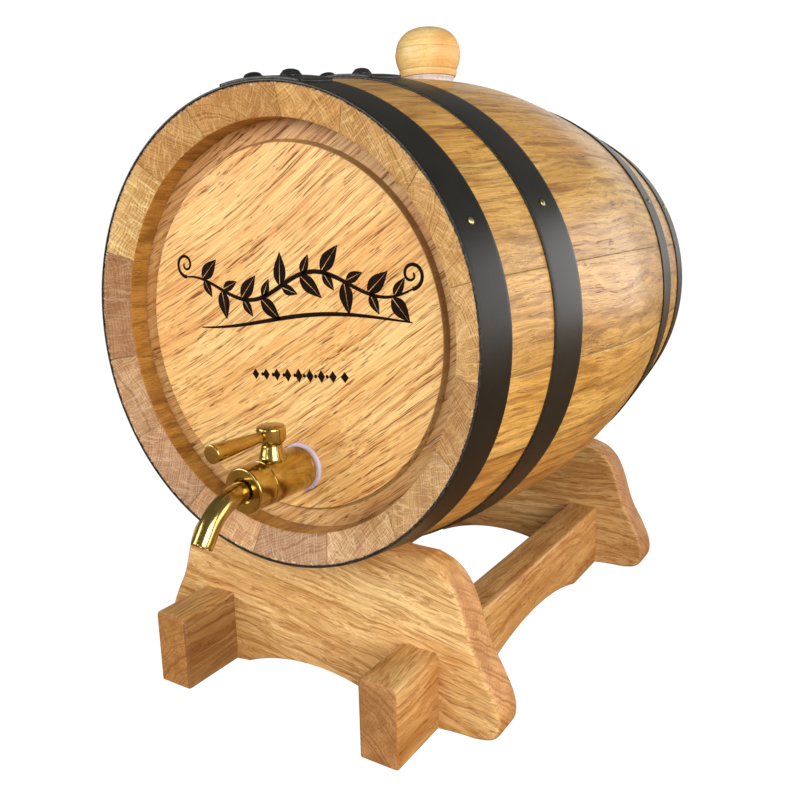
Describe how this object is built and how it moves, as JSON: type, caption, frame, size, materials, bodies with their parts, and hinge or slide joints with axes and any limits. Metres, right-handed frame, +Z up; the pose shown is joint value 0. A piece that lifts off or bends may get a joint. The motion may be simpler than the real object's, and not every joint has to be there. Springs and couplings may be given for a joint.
{
  "type": "oak wine barrel",
  "caption": "Small oak wine barrel lying on a wooden cradle stand, with black iron hoops, a brass lever tap in the front head and a wooden knob bung in the top.",
  "frame": {"origin": "on the ground plane the stand rests on, below the barrel axis at half the stave length", "axes": "+Z up, +Y along the barrel axis from the tap head to the rear head, +X to the right seen from the tap end"},
  "size_m": [0.2628, 0.3823, 0.3621],
  "materials": {
    "stave_oak": "satin oiled oak, long grain",
    "head_oak": "satin oiled oak, long grain",
    "dowel_wood": "raw beech",
    "hoop_iron": "satin black enamel on strip iron",
    "rivet_iron": "gloss black enamel",
    "nail_brass": "worn brass nail heads",
    "bung_wood": "lacquered maple, turned",
    "bung_silicone": "translucent milky silicone",
    "tap_brass": "polished antique brass",
    "washer_silicone": "translucent milky silicone",
    "ring_rubber": "black rubber",
    "screw_steel": "zinc plated",
    "stand_oak": "satin oiled oak, rounded edges"
  },
  "bodies": {
    "stand": {"front_cradle": "stand_oak", "rear_cradle": "stand_oak", "left_rail": "stand_oak", "right_rail": "stand_oak", "stand_screws": "screw_steel"},
    "barrel": {"stave_01": "stave_oak", "stave_02": "stave_oak", "stave_03": "stave_oak", "stave_04": "stave_oak", "stave_05": "stave_oak", "stave_06": "stave_oak", "stave_07": "stave_oak", "stave_08": "stave_oak", "stave_09": "stave_oak", "stave_10": "stave_oak", "stave_11": "stave_oak", "stave_12": "stave_oak", "stave_13": "stave_oak", "stave_14": "stave_oak", "stave_15": "stave_oak", "front_head_board_1": "head_oak", "front_head_board_2": "head_oak", "front_head_board_3": "head_oak", "front_head_board_4": "head_oak", "rear_head_board_1": "head_oak", "rear_head_board_2": "head_oak", "rear_head_board_3": "head_oak", "rear_head_board_4": "head_oak", "front_head_dowels": "dowel_wood", "rear_head_dowels": "dowel_wood", "end_hoop_front": "hoop_iron", "quarter_hoop_front": "hoop_iron", "quarter_hoop_rear": "hoop_iron", "end_hoop_rear": "hoop_iron", "hoop_rivets": "rivet_iron", "hoop_nails": "nail_brass", "tap_body": "tap_brass", "tap_nozzle": "tap_brass", "spout_tube": "tap_brass", "tap_washer_outer": "washer_silicone", "tap_washer_inner": "washer_silicone", "tap_lock_nut": "tap_brass", "tap_bonnet": "tap_brass"},
    "bung": {"bung_knob": "bung_wood", "bung_seal": "bung_silicone"},
    "tap_handle": {"tap_plug": "tap_brass", "tap_stem_rings": "ring_rubber", "tap_hub": "tap_brass", "tap_lever": "tap_brass", "tap_grub_screw": "screw_steel"}
  },
  "joints": [
    {"name": "barrel_lift", "type": "slide", "parent": "stand", "child": "barrel", "axis": [0, 0, 1], "range_m": [0, 0.15]},
    {"name": "bung_pull", "type": "slide", "parent": "barrel", "child": "bung", "axis": [0, 0, 1], "range_m": [0, 0.045]},
    {"name": "tap_turn", "type": "hinge", "parent": "barrel", "child": "tap_handle", "pos_m": [0.0075, -0.1675, 0.1319], "axis": [0, 0, 1], "range_deg": [-90, 90]}
  ]
}
